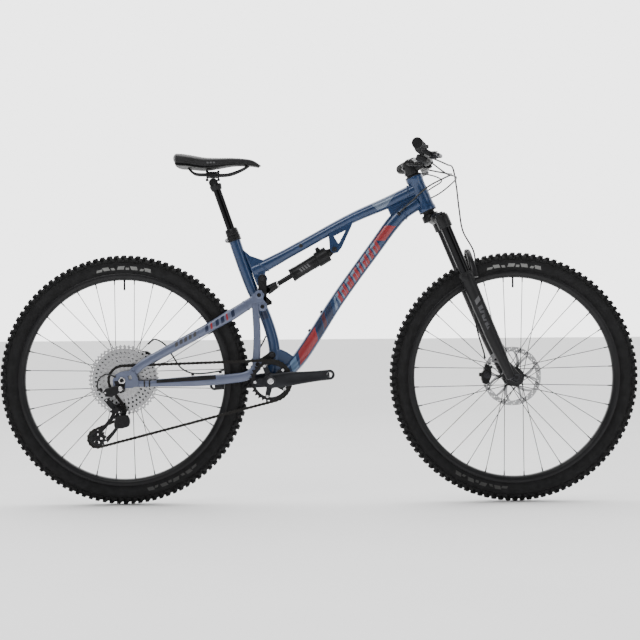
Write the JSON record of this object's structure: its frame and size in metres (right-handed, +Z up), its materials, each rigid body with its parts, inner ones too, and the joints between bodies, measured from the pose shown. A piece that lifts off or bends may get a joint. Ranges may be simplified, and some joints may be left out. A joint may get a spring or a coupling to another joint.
{
  "type": "full-suspension mountain bike",
  "caption": "Full-suspension mountain bike with a linkage-driven rear triangle, air shock, telescopic fork, disc brakes, dropper post and single-ring chain drive.",
  "frame": {"origin": "on the ground, midway between the two axles and in the bike's mid-plane", "axes": "+X forward, +Y to the rider's left, +Z up; the drive side is at -Y"},
  "size_m": [1.911, 0.7764, 1.0538],
  "materials": {
    "frame_paint": "metallic dark blue paint",
    "rear_paint": "metallic silver-lavender paint",
    "black_alloy": "black anodised aluminium",
    "dark_alloy": "dark grey anodised aluminium",
    "black_paint": "satin black paint",
    "bright_steel": "nickel-plated steel",
    "rotor_steel": "brushed steel",
    "stanchion": "polished black stanchion",
    "rubber": "matt rubber",
    "tyre": "knobbly black tyre rubber",
    "plastic": "matt black plastic",
    "hose": "black hose sheath"
  },
  "bodies": {
    "frame": {"head_tube": "frame_paint", "top_tube": "frame_paint", "down_tube": "frame_paint", "seat_tube": "frame_paint", "seat_collar": "black_alloy", "dropper_outer": "black_alloy", "rear_brake_hose_front": "hose", "shift_housing_front": "hose", "dropper_housing": "hose", "rear_brake_hose_rear": "hose", "chain": "bright_steel"},
    "rear_triangle": {"chainstay_right": "rear_paint", "chainstay_left": "rear_paint", "seatstay_right": "rear_paint", "seatstay_left": "rear_paint", "rear_yoke": "rear_paint", "rear_axle": "black_alloy", "rear_brake_caliper": "black_alloy", "derailleur_body": "black_alloy", "shift_housing_rear": "hose"},
    "upper_link": {"upper_link": "black_alloy"},
    "lower_link": {"lower_link": "black_alloy"},
    "shock_body": {"shock_air_can": "black_paint"},
    "shock_shaft": {"shock_shaft": "dark_alloy"},
    "rear_wheel": {"rear_tyre": "tyre", "rear_rim": "black_paint", "rear_hub_and_spokes": "black_alloy", "rear_brake_rotor": "rotor_steel"},
    "cassette": {"cassette": "bright_steel"},
    "derailleur_links": {"derailleur_links": "dark_alloy"},
    "derailleur_knuckle": {"derailleur_knuckle": "black_alloy"},
    "derailleur_cage": {"derailleur_cage": "black_alloy"},
    "pulley_upper": {"pulley_upper": "plastic"},
    "pulley_lower": {"pulley_lower": "plastic"},
    "crankset": {"crank_right": "black_alloy", "crank_left": "black_alloy", "chainring": "black_alloy"},
    "fork_upper": {"fork_crown": "black_paint", "stanchion_right": "stanchion", "stanchion_left": "stanchion", "stem": "black_alloy", "handlebar": "black_alloy", "grip_right": "rubber", "grip_left": "rubber", "brake_master_right": "black_alloy", "brake_master_left": "black_alloy", "front_brake_hose": "hose"},
    "fork_lowers": {"fork_lowers": "black_paint", "front_brake_caliper": "black_alloy"},
    "front_wheel": {"front_tyre": "tyre", "front_rim": "black_paint", "front_hub_and_spokes": "black_alloy", "front_brake_rotor": "rotor_steel"},
    "brake_lever_right": {"brake_lever_right": "dark_alloy"},
    "brake_lever_left": {"brake_lever_left": "dark_alloy"},
    "shift_lever": {"shift_lever": "plastic"},
    "dropper_lever": {"dropper_lever": "plastic"},
    "saddle": {"dropper_inner": "black_alloy", "saddle_rails": "bright_steel", "saddle_cover": "plastic"}
  },
  "joints": [
    {"name": "steering", "type": "hinge", "parent": "frame", "child": "fork_upper", "pos_m": [0.3294, 0, 0.873], "axis": [-0.3848, 0, 0.923], "range_deg": [-70, 70], "deforming": ["rear_brake_hose_front", "shift_housing_front", "dropper_housing"]},
    {"name": "fork_compression", "type": "slide", "parent": "fork_upper", "child": "fork_lowers", "axis": [-0.3848, 0, 0.923], "range_m": [0, 0.12], "stiffness_N_per_m": 9000, "deforming": ["front_brake_hose"]},
    {"name": "front_wheel_spin", "type": "hinge", "parent": "fork_lowers", "child": "front_wheel", "pos_m": [0.5825, 0, 0.373], "axis": [0, 1, 0], "continuous": true},
    {"name": "rear_suspension", "type": "hinge", "parent": "frame", "child": "rear_triangle", "pos_m": [-0.11199, 0, 0.4531], "axis": [0, 1, 0], "range_deg": [0, 16.37], "stiffness_Nm_per_rad": 2400, "deforming": ["chain", "rear_brake_hose_rear"]},
    {"name": "upper_link_pivot", "type": "hinge", "parent": "frame", "child": "upper_link", "pos_m": [-0.1685, 0, 0.6716], "axis": [0, -1, 0], "range_deg": [0, 29.1]},
    {"name": "lower_link_pivot", "type": "hinge", "parent": "frame", "child": "lower_link", "pos_m": [-0.1417, 0, 0.4431], "axis": [0, 1, 0], "range_deg": [0, 26.8]},
    {"name": "shock_swing", "type": "hinge", "parent": "frame", "child": "shock_body", "pos_m": [0.048, 0, 0.7582], "axis": [0, -1, 0], "range_deg": [0, 4.3]},
    {"name": "shock_stroke", "type": "slide", "parent": "shock_body", "child": "shock_shaft", "axis": [0.8582, 0, 0.5133], "range_m": [0, 0.05]},
    {"name": "rear_wheel_spin", "type": "hinge", "parent": "rear_triangle", "child": "rear_wheel", "pos_m": [-0.5825, 0, 0.373], "axis": [0, 1, 0], "continuous": true},
    {"name": "crank_spin", "type": "hinge", "parent": "frame", "child": "crankset", "pos_m": [-0.1445, 0, 0.368], "axis": [0, 1, 0], "continuous": true},
    {"name": "cassette_spin", "type": "hinge", "parent": "rear_triangle", "child": "cassette", "pos_m": [-0.5825, 0, 0.373], "axis": [0, 1, 0], "continuous": true},
    {"name": "derailleur_swing", "type": "hinge", "parent": "rear_triangle", "child": "derailleur_links", "pos_m": [-0.627, -0.096, 0.32], "axis": [0.4402, 0.7998, 0.4082], "range_deg": [-14, 16], "stiffness_Nm_per_rad": 3, "deforming": ["shift_housing_rear"]},
    {"name": "derailleur_knuckle_turn", "type": "hinge", "parent": "derailleur_links", "child": "derailleur_knuckle", "pos_m": [-0.586, -0.096, 0.278], "axis": [0.4402, 0.7998, 0.4082], "range_deg": [-16, 14]},
    {"name": "cage_swing", "type": "hinge", "parent": "derailleur_knuckle", "child": "derailleur_cage", "pos_m": [-0.584, -0.07, 0.262], "axis": [0, 1, 0], "range_deg": [-60, 10], "stiffness_Nm_per_rad": 1.5},
    {"name": "pulley_upper_spin", "type": "hinge", "parent": "derailleur_cage", "child": "pulley_upper", "pos_m": [-0.598, -0.055, 0.28], "axis": [0, 1, 0], "continuous": true},
    {"name": "pulley_lower_spin", "type": "hinge", "parent": "derailleur_cage", "child": "pulley_lower", "pos_m": [-0.66, -0.055, 0.201], "axis": [0, 1, 0], "continuous": true},
    {"name": "dropper_slide", "type": "slide", "parent": "frame", "child": "saddle", "axis": [-0.3268, 0, 0.9451], "range_m": [-0.12, 0]},
    {"name": "brake_lever_right_pull", "type": "hinge", "parent": "fork_upper", "child": "brake_lever_right", "pos_m": [0.33468, -0.224, 1.01213], "axis": [0, 0, 1], "range_deg": [-12, 0], "stiffness_Nm_per_rad": 2},
    {"name": "brake_lever_left_pull", "type": "hinge", "parent": "fork_upper", "child": "brake_lever_left", "pos_m": [0.33468, 0.224, 1.01213], "axis": [0, 0, 1], "range_deg": [0, 12], "stiffness_Nm_per_rad": 2},
    {"name": "shift_lever_push", "type": "hinge", "parent": "fork_upper", "child": "shift_lever", "pos_m": [0.29447, -0.19, 0.99309], "axis": [0, 0, 1], "range_deg": [0, 20], "stiffness_Nm_per_rad": 0.5},
    {"name": "dropper_lever_push", "type": "hinge", "parent": "fork_upper", "child": "dropper_lever", "pos_m": [0.29575, 0.188, 1.00762], "axis": [0, 0, 1], "range_deg": [-20, 0], "stiffness_Nm_per_rad": 0.5}
  ],
  "couplings": [
    {"joint": "upper_link_pivot", "follows": "rear_suspension", "ratio": 1.772},
    {"joint": "lower_link_pivot", "follows": "rear_suspension", "ratio": 1.629},
    {"joint": "shock_swing", "follows": "rear_suspension", "ratio": 0.257},
    {"joint": "shock_stroke", "follows": "rear_suspension", "m_per_rad": 0.17098},
    {"joint": "cassette_spin", "follows": "crank_spin", "ratio": 1.4286},
    {"joint": "pulley_upper_spin", "follows": "crank_spin", "ratio": -2.7273},
    {"joint": "pulley_lower_spin", "follows": "crank_spin", "ratio": 2.3077},
    {"joint": "derailleur_knuckle_turn", "follows": "derailleur_swing", "ratio": -1}
  ]
}
